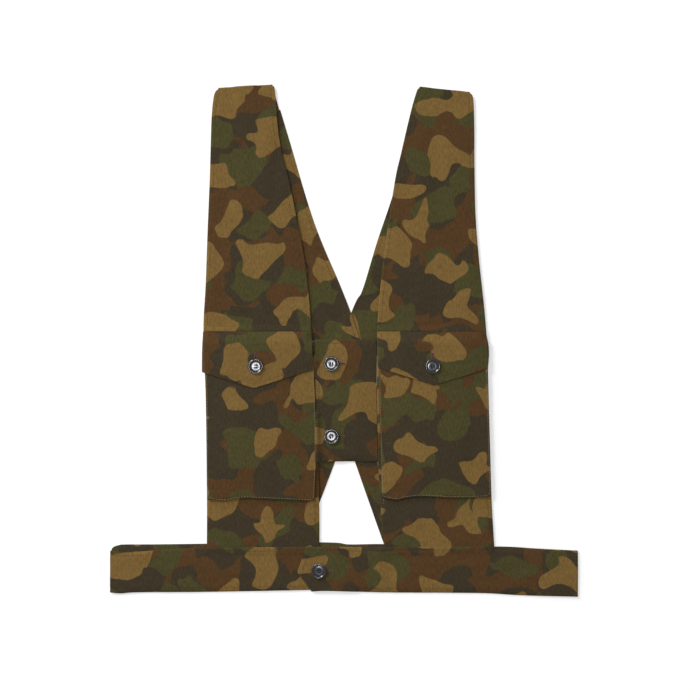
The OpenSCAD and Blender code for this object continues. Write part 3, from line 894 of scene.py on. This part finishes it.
BELLOWS = 0.5 * MM
BELLOWS_ROOM = 2.1 * MM
BELLOWS_DEPTH = 6.0 * MM
DOME = 50 * MM
HEM = 17.5 * MM
HEM_ROW_UP = 1.5 * MM
EDGE_ROW_IN = 1.2 * MM
MOUTH = -3 * MM


def dome(low_x, high_x, low_y):
    """From 0 at a pocket's sewn edges to 1 in its middle, open at the mouth."""
    to_side = np.minimum(GRID_X - low_x, high_x - GRID_X)
    return ease(to_side / DOME) * ease((GRID_Y - low_y) / DOME)


def pucker(place, size, wave, height):
    """Short creases that fan out of a place where the cloth was caught by the stitching."""
    x, y = GRID_X - place[0] * MM, GRID_Y - place[1] * MM
    return height * np.sin(2 * math.pi * (0.6 * x + y) / wave) * np.exp(-(x**2 + y**2) / size**2)


def pocket(side, outline, seed, turn, shift, snag=None):
    """Pocket front, the folded bellows round its sewn edges and the hem inside its mouth."""
    line_a, line_b, strays = outline
    a, b = curve(line_a), curve(line_b)
    panel_top = surface.copy()
    grid = Grid(a, b)
    grid.sway(strays, 40 * MM)
    sewn_edge = along(np.vstack([a[::-1], grid.p[0, 1:-1], b]), np.linspace(0, 1, 260))
    swell = dome(a[:, 0].min(), b[:, 0].max(), a[:, 1].min())
    full = middle_z(f"{side}_pocket_front")
    level = panel_top + BELLOWS_ROOM + SHELL / 2
    level = level + (full - level) * swell
    over_mouth = np.array([(a[-1, 0], MOUTH - 2 * MM), (b[-1, 0], MOUTH - 2 * MM),
                           (b[-1, 0], MOUTH + 20 * MM), (a[-1, 0], MOUTH + 20 * MM)])
    relief = 0.16 * MM * np.clip(1.3 + ripples(seed, 22 * MM, 40 * MM), 0, 3)
    relief = relief * np.clip((MOUTH - 14 * MM - GRID_Y) / (30 * MM), 0.15, 1)
    if snag:
        relief = relief + pucker(snag, 9 * MM, 7 * MM, 0.6 * MM)
    middle = lay(grid.loop(), SHELL, level, gap=BELLOWS_ROOM, keep=(over_mouth,), relief=relief, rim=2.5)
    z = sample(middle, grid.x, grid.y)
    for k, edge in enumerate((grid.to_a, grid.to_b)):
        z = z + gathers(edge, EDGE_ROW_IN, grid.to_start, seed + k, 0.1 * MM)
    z = z + gathers(grid.to_start, EDGE_ROW_IN, grid.to_a, seed + 5, 0.1 * MM)
    front_piece = sheet_mesh(f"{side}_pocket_cloth", np.dstack([grid.x, grid.y, z]), SHELL, grid.rim(),
                             cut_uv(grid.x, grid.y, turn, shift), cloth)
    finish_sheet(front_piece, [f"{side}_pocket_front"])

    inward = offset(sewn_edge, 1.0) - sewn_edge
    kernel = np.ones(13) / 13
    padded = np.pad(inward, ((6, 6), (0, 0)), mode="edge")
    inward = np.column_stack([np.convolve(padded[:, k], kernel, mode="valid") for k in (0, 1)])
    rows = []
    profile = np.linspace(0, 1, 13)
    for share in profile:
        flat = sewn_edge + inward * (0.9 * MM + BELLOWS_DEPTH * math.sin(math.pi * share))
        low = sample(panel_top, flat[:, 0], flat[:, 1]) + BELLOWS / 2 + TOUCH
        high = sample(middle, flat[:, 0], flat[:, 1]) - SHELL / 2 - BELLOWS / 2 - TOUCH
        rows.append(np.column_stack([flat, low + (high - low) * share]))
    points = np.stack(rows, axis=1)
    across = np.minimum(profile, 1 - profile) * 2 * BELLOWS_DEPTH
    rim = np.tile(across, (len(sewn_edge), 1))
    rim[0] = rim[-1] = 0
    uv = np.dstack([np.tile(run(sewn_edge)[:, None], (1, len(profile))),
                    np.tile(profile * 0.01, (len(sewn_edge), 1))])
    folds = sheet_mesh(f"{side}_pocket_bellows", points, BELLOWS, rim, uv, lining_cloth)
    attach(folds, BODY)
    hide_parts(f"{side}_pocket_gusset")

    inset = 1.6 * MM
    hem_a = np.array([(a[-1, 0] + inset, MOUTH - HEM), (a[-1, 0] + inset, MOUTH - TOUCH)])
    hem_b = np.array([(b[-1, 0] - inset, MOUTH - HEM), (b[-1, 0] - inset, MOUTH - TOUCH)])
    hem_grid = Grid(hem_a, hem_b, edge=NARROW_EDGE)
    z = sample(middle, hem_grid.x, hem_grid.y) - SHELL / 2 - FACING / 2 - TOUCH
    hem = sheet_mesh(f"{side}_pocket_hem_cloth", np.dstack([hem_grid.x, hem_grid.y, z]), FACING,
                     hem_grid.rim(), cut_uv(hem_grid.x, hem_grid.y, turn, shift), lining_cloth)
    finish_sheet(hem, [f"{side}_pocket_hem"])

    stitch_run("pocket_stitching", front_piece, offset(sewn_edge, EDGE_ROW_IN)[2:-2])
    hem_row_y = MOUTH - HEM + HEM_ROW_UP
    hem_row = np.array([(a[-1, 0] + 2 * MM, hem_row_y), (b[-1, 0] - 2 * MM, hem_row_y)])
    stitch_run("pocket_stitching", front_piece, hem_row)
    return front_piece


pocket("right", RIGHT_POCKET, 71, -8.0, (11.0, 1.0))
pocket("left", LEFT_POCKET, 81, 7.0, (13.0, 5.0), snag=LEFT_SNAG)
corner_tack = np.array([(47.8, -189.5), (46.6, -196.5)]) * MM
stitch_run("pocket_stitching", left_front, corner_tack)

# Flaps and the rolled seams above them --------------------------------------------------------

FLAP_DROOP = 3.0 * MM
FLAP_RUN = 12.8 * MM
SEAM_ROW_UP = 6.9 * MM


def flap(side, outline, seed, turn, shift):
    """Double flap that rises from its rolled seam over the pocket's mouth and lies on the pocket."""
    line_a, line_b, tip = outline
    a, b = curve(line_a), curve(line_b)
    low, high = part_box(f"{side}_flap")
    root_y = high[1]
    top_z = high[2] - DOUBLE / 2
    lining_low, lining_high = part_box(f"{side}_flap_lining")
    root_z = lining_low[2] + (high[2] - lining_high[2]) + DOUBLE / 2
    grid = Grid(a, b)
    grid.point(tip, grid.length)
    rise = ease((root_y - GRID_Y) / FLAP_RUN / 1.2 + 0.08)
    to_side = np.minimum(GRID_X - a[:, 0].mean(), b[:, 0].mean() - GRID_X)
    droop = FLAP_DROOP * (1 - ease(to_side / (34 * MM)))
    level = root_z + (top_z - droop - root_z) * rise
    above = np.array([(a[-1, 0], root_y - 4 * MM), (b[-1, 0], root_y - 4 * MM),
                      (b[-1, 0], root_y + 20 * MM), (a[-1, 0], root_y + 20 * MM)])
    calm = np.clip((root_y - 6 * MM - GRID_Y) / (20 * MM), 0, 1)
    relief = 0.10 * MM * np.clip(1.0 + ripples(seed, 24 * MM, 18 * MM), 0, 2.4) * calm
    before = surface.copy()
    middle = lay(grid.loop(), DOUBLE, level, gap=LAP_GAP, soft=3, keep=(above,), relief=relief)
    middle = np.where(GRID_Y > root_y - 3 * MM, np.minimum(middle, root_z + 0.3 * MM), middle)
    z = sample(middle, grid.x, grid.y)
    fade = np.clip(grid.to_end / (4 * MM), 0, 1)
    for k, edge in enumerate((grid.to_a, grid.to_b)):
        z = z + gathers(edge, SEAM_IN, grid.to_start, seed + k) * fade
    z = z + gathers(grid.to_start, SEAM_IN, grid.to_a, seed + 7) * fade
    piece = sheet_mesh(f"{side}_flap_cloth", np.dstack([grid.x, grid.y, z]), DOUBLE, grid.rim(),
                       cut_uv(grid.x, grid.y, turn, shift), cloth)
    row = offset(np.vstack([a[::-1], np.array([tip]) * MM, b]), SEAM_IN)
    group = f"{side}_flap_stitching"
    stitch_run(group, piece, row[1:-1])
    centre = np.mean(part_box(f"{side}_pocket_button"), axis=0)[:2]
    holes = f"{side}_flap_buttonhole_thread"
    buttonhole(holes, piece, centre, (0, 1))
    finish_sheet(piece, [f"{side}_flap", f"{side}_flap_lining"],
                 body=f"{side}_flap")
    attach(build_stitches(group), f"{side}_flap")
    threads = build_stitches(holes, material=buttonhole_thread)
    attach(threads, f"{side}_flap")
    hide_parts(f"{side}_flap_buttonhole")

    # the rolled seam is the strap's own cloth, turned under and sewn down over the flap's root
    turn, shift = CUTS[side]
    seam_a = np.array([(a[-1, 0] + 0.5 * MM, root_y + 0.1 * MM), (a[-1, 0] + 0.6 * MM, root_y + 8 * MM)])
    seam_b = np.array([(b[-1, 0] - 0.5 * MM, root_y + 0.1 * MM), (b[-1, 0] - 0.7 * MM, root_y + 8 * MM)])
    seam = Grid(seam_a, seam_b, edge=NARROW_EDGE)
    low_z = sample(before, seam.x, seam.y) + SHELL / 2 + TOUCH
    roll = (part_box(f"{side}_flap_seam")[1][2] - SHELL / 2) * np.ones_like(low_z)
    z = low_z + np.maximum(roll - low_z, 0) * (1 - ease((seam.y - root_y - 2.4 * MM) / (4.2 * MM)))
    strip = sheet_mesh(f"{side}_flap_seam_cloth", np.dstack([seam.x, seam.y, z]), SHELL, seam.rim(),
                       cut_uv(seam.x, seam.y, turn, shift), cloth)
    finish_sheet(strip, [f"{side}_flap_seam"])
    middle_y = root_y + SEAM_ROW_UP
    seam_row = np.array([(seam_a[0, 0] + MM, middle_y), (seam_b[0, 0] - MM, middle_y)])
    stitch_run("front_stitching", strip, seam_row)


flap("right", RIGHT_FLAP, 91, 12.0, (15.0, 3.0))
flap("left", LEFT_FLAP, 97, -3.0, (17.0, 7.0))

# Button stand and chest tab -------------------------------------------------------------------

stand = Grid(curve(STAND[0]), curve(STAND[1]))
beside_stand = np.array([(-60, -150), (-30, -150), (-30, 6), (-60, 6)]) * MM
stand_middle = lay(stand.loop(), DOUBLE, middle_z("button_stand"), keep=(beside_stand,))
z = sample(stand_middle, stand.x, stand.y)
stand_cloth = sheet_mesh("button_stand_cloth", np.dstack([stand.x, stand.y, z]), DOUBLE, stand.rim(),
                         cut_uv(stand.x, stand.y, *CUTS["right"]), lining_cloth)
finish_sheet(stand_cloth, ["button_stand"])

tab_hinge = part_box("chest_tab")[1][0]
TAB_Z = (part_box("chest_tab")[1][2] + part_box("chest_tab_lining")[1][2] - PLY) / 2
ROOT_Z = middle_z("chest_tab_root")
tab = Grid(curve(TAB[0]), curve(TAB[1]))
tab_level = np.interp(GRID_X, [tab_hinge - 20 * MM, tab_hinge, tab_hinge + 5 * MM],
                      [TAB_Z, ROOT_Z, ROOT_Z - 0.4 * MM])
beside_tab = np.array([(30, -150), (60, -150), (60, 6), (30, 6)]) * MM
tab_relief = 0.10 * MM * np.clip(1 + ripples(101, 26 * MM, 26 * MM), 0, 2.2)
tab_relief = tab_relief * np.clip((tab_hinge - 6 * MM - GRID_X) / (16 * MM), 0, 1)
tab_middle = lay(tab.loop(), DOUBLE, tab_level, gap=LAP_GAP, keep=(beside_tab,), relief=tab_relief)
z = sample(tab_middle, tab.x, tab.y)
z = z + gathers(tab.to_a, SEAM_IN, tab.to_start, 103)
z = z + gathers(tab.to_start, SEAM_IN, tab.to_a, 105) + gathers(tab.to_end, SEAM_IN, tab.to_a, 107)
tab_cloth = sheet_mesh("chest_tab_cloth", np.dstack([tab.x, tab.y, z]), DOUBLE, tab.rim(),
                       cut_uv(tab.x, tab.y, -14.0, (19.0, 2.0)), cloth)
left_x, low_y = TAB[0][0][0] * MM, TAB[0][0][1] * MM
high_y = TAB[0][1][1] * MM
tab_row = np.array([(tab_hinge + 4 * MM, high_y), (left_x, high_y), (left_x, low_y),
                    (tab_hinge + 4 * MM, low_y)])
stitch_run("tab_stitching", tab_cloth, offset(tab_row, SEAM_IN))
for button in ("upper_chest_button", "lower_chest_button"):
    centre = np.mean(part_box(button), axis=0)[:2]
    buttonhole("chest_tab_buttonhole_threads", tab_cloth, centre, (1, 0))
finish_sheet(tab_cloth, ["chest_tab", "chest_tab_lining", "chest_tab_root"],
             body=None)


def bend_at(piece):
    """Bakes a piece's place into its mesh."""
    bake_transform(piece)


bend_at(tab_cloth)
bend_at(build_stitches("tab_stitching"))
threads = build_stitches("chest_tab_buttonhole_threads", material=buttonhole_thread)
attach(threads, "chest_tab")
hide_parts("chest_tab_buttonholes")

buttonhole("belt_tongue_buttonhole_thread", belt_left, np.mean(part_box("belt_button"), axis=0)[:2], (1, 0))
bend_at(belt_left)
bend_at(build_stitches("tongue_stitching"))
threads = build_stitches("belt_tongue_buttonhole_thread", material=buttonhole_thread)
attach(threads, "belt_tongue")
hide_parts("belt_tongue_buttonhole")

for group in ("back_stitching", "front_stitching", "belt_stitching"):
    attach(build_stitches(group), BODY)
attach(build_stitches("pocket_stitching", material=pale_thread), BODY)

# Buttons --------------------------------------------------------------------------------------

BUTTON_R = 9.0 * MM
BUTTON_T = 2.6 * MM
RIM_DROP = 0.25 * MM
HOLE_R = 0.75 * MM
HOLE_AT = 2.0 * MM
DISC_TOP = BUTTON_T - 0.5 * MM
THREAD_R = 0.5 * MM


def finish_active(name, material):
    """Applies the active object's place, names it and gives it its material."""
    piece = bpy.context.object
    bpy.ops.object.transform_apply(location=True, rotation=True, scale=True)
    piece.name = piece.data.name = name
    piece.data.materials.clear()
    piece.data.materials.append(material)
    return piece


def apply_modifier(piece, kind, **settings):
    modifier = piece.modifiers.new("shape", kind)
    for key, value in settings.items():
        setattr(modifier, key, value)
    deselect()
    bpy.context.view_layer.objects.active = piece
    piece.select_set(True)
    bpy.ops.object.modifier_apply(modifier=modifier.name)


def make_button():
    """Four-hole button with a round raised rim, a groove inside it and a dished middle."""
    deselect()
    edge_high = BUTTON_T - RIM_DROP
    bpy.ops.mesh.primitive_cylinder_add(vertices=72, radius=BUTTON_R, depth=edge_high,
                                        location=(0, 0, edge_high / 2))
    piece = finish_active("button_master", button_black)
    bpy.ops.object.mode_set(mode="EDIT")
    pick(piece, lambda centre, normal: normal.z < -0.9)
    bpy.ops.mesh.inset(thickness=1.3 * MM, depth=0)
    bpy.ops.transform.translate(value=(0, 0, -0.001 * MM))
    pick(piece, lambda centre, normal: normal.z > 0.9)
    for thickness, depth in ((0.6, 0.25), (0.45, 0.06), (0.45, -0.06), (0.75, -0.45), (0.45, -0.30),
                             (0.9, 0.25), (1.9, -0.10), (1.6, -0.08), (1.2, -0.03)):
        bpy.ops.mesh.inset(thickness=thickness * MM, depth=depth * MM)
    bpy.ops.object.mode_set(mode="OBJECT")
    apply_modifier(piece, "BEVEL", width=0.42 * MM, segments=4, limit_method="ANGLE",
                   angle_limit=math.radians(50))
    cutters = []
    for k in range(4):
        angle = math.radians(45 + 90 * k)
        deselect()
        bpy.ops.mesh.primitive_cylinder_add(
            vertices=24, radius=HOLE_R, depth=4 * BUTTON_T,
            location=(HOLE_AT * math.cos(angle), HOLE_AT * math.sin(angle), 0))
        bpy.ops.object.transform_apply(location=True, rotation=True, scale=True)
        cutters.append(bpy.context.object)
    apply_boolean(piece, cutters)
    bpy.context.view_layer.objects.active = piece
    piece.select_set(True)
    bpy.ops.object.shade_smooth_by_angle(angle=math.radians(40))
    return piece


def tube(start, end, radius, vertices=14):
    """A plain cylinder between two points, with its ends rounded."""
    start, end = Vector(start), Vector(end)
    deselect()
    bpy.ops.mesh.primitive_cylinder_add(vertices=vertices, radius=radius, depth=(end - start).length,
                                        location=(start + end) / 2,
                                        rotation=(end - start).to_track_quat("Z", "Y").to_euler())
    piece = finish_active("strand", button_thread)
    apply_modifier(piece, "BEVEL", width=radius * 0.7, segments=3, limit_method="ANGLE")
    return piece


def ring(z, radius, thick):
    deselect()
    bpy.ops.mesh.primitive_torus_add(location=(0, 0, z), major_radius=radius, minor_radius=thick,
                                     major_segments=28, minor_segments=8)
    return finish_active("strand", button_thread)


def make_thread(foot, turn):
    """Shank wound with thread, a strand up each hole and two strands across each pair."""
    at = HOLE_AT * math.sin(math.radians(45))
    parts = [tube((0, 0, -foot - 0.3 * MM), (0, 0, 0.2 * MM), 0.95 * MM, 20)]
    rounds = max(2, int(foot / (0.42 * MM)))
    for k in range(rounds):
        parts.append(ring(-foot + (k + 0.5) * foot / rounds, 0.95 * MM, 0.24 * MM))
    for x in (-at, at):
        for y in (-at, at):
            parts.append(tube((x, y, 0), (x, y, DISC_TOP + 0.1 * MM), THREAD_R))
        for off in (-0.38, 0.38):
            parts.append(tube((x + off * MM, -at - 0.45 * MM, DISC_TOP + 0.12 * MM),
                              (x + off * MM, at + 0.45 * MM, DISC_TOP + 0.12 * MM), 0.42 * MM))
    deselect()
    for part in parts:
        part.select_set(True)
    bpy.context.view_layer.objects.active = parts[0]
    bpy.ops.object.join()
    piece = bpy.context.object
    piece.rotation_euler.z = math.radians(turn)
    bpy.ops.object.transform_apply(location=True, rotation=True, scale=True)
    bpy.ops.object.shade_smooth_by_angle(angle=math.radians(50))
    return piece


def settle(piece, name, place, tilt):
    """Moves a finished piece to its place, with a small tilt about X and Y, and names it."""
    piece.location = place
    piece.rotation_euler = [math.radians(angle) for angle in (*tilt, 0)]
    deselect()
    piece.select_set(True)
    bpy.context.view_layer.objects.active = piece
    bpy.ops.object.transform_apply(location=True, rotation=True, scale=True)
    piece.name = piece.data.name = name


master = make_button()
for node, turn, tilt in (
        ("right_pocket_button", 90, (0.6, -0.8)),
        ("left_pocket_button", 10, (2.1, 1.9)),
        ("upper_chest_button", 0, (-0.5, 0.6)),
        ("lower_chest_button", 38, (0.5, -0.6)),
        ("belt_button", 62, (2.1, -2.2))):
    low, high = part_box(node)
    place = ((low[0] + high[0]) / 2, (low[1] + high[1]) / 2, low[2])
    body = master.copy()
    body.data = master.data.copy()
    bpy.context.collection.objects.link(body)
    settle(body, f"{node}_moulding", place, tilt)
    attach(body, node)
    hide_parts(node)
    thread = make_thread(low[2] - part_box(f"{node}_thread")[0][2], turn)
    settle(thread, f"{node}_sewing", place, tilt)
    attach(thread, node)
    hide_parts(f"{node}_thread")
bpy.data.objects.remove(master)

# Floor, light and camera ----------------------------------------------------------------------

deselect()
bpy.ops.mesh.primitive_plane_add(size=8, location=(0, 0, -0.1 * MM))
floor = bpy.context.object
floor.name = "floor"
paper, nodes, links, shader = new_material("white_paper")
shader.inputs["Base Color"].default_value = (0.52, 0.52, 0.52, 1)
shader.inputs["Emission Color"].default_value = (1, 1, 1, 1)
shader.inputs["Emission Strength"].default_value = 0.34
shader.inputs["Roughness"].default_value = 0.9
shader.inputs["Specular IOR Level"].default_value = 0.1
floor.data.materials.append(paper)

world = bpy.data.worlds.new("studio")
bpy.context.scene.world = world
world.use_nodes = True
world.node_tree.nodes["Background"].inputs["Color"].default_value = (1, 1, 1, 1)
world.node_tree.nodes["Background"].inputs["Strength"].default_value = 0.45


def soft_light(name, place, aim, size, power):
    deselect()
    bpy.ops.object.light_add(type="AREA", location=place)
    light = bpy.context.object
    light.name = name
    light.rotation_euler = (Vector(aim) - Vector(place)).to_track_quat("-Z", "Y").to_euler()
    light.data.shape = "RECTANGLE"
    light.data.size, light.data.size_y = size
    light.data.energy = power
    return light


soft_light("key_light", (-3.0, 3.0, 3.4), (0, 0, 0), (1.6, 1.6), 232)
soft_light("window_light", (-3.1, 3.1, 1.27), (0, 0, 0), (1.5, 0.7), 117)
soft_light("overhead_panel", (-0.15, -0.12, 2.05), (-0.15, -0.12, 0), (0.36, 0.36), 17.0)

CAMERA_AIM = (0.0072, -0.0115)
CAMERA_HEIGHT = 1.983
deselect()
bpy.ops.object.camera_add(location=(*CAMERA_AIM, CAMERA_HEIGHT), rotation=(0, 0, 0))
camera = bpy.context.object
camera.data.lens = 85
camera.data.sensor_width = 36
bpy.context.scene.camera = camera
bpy.context.scene.view_settings.view_transform = "Standard"
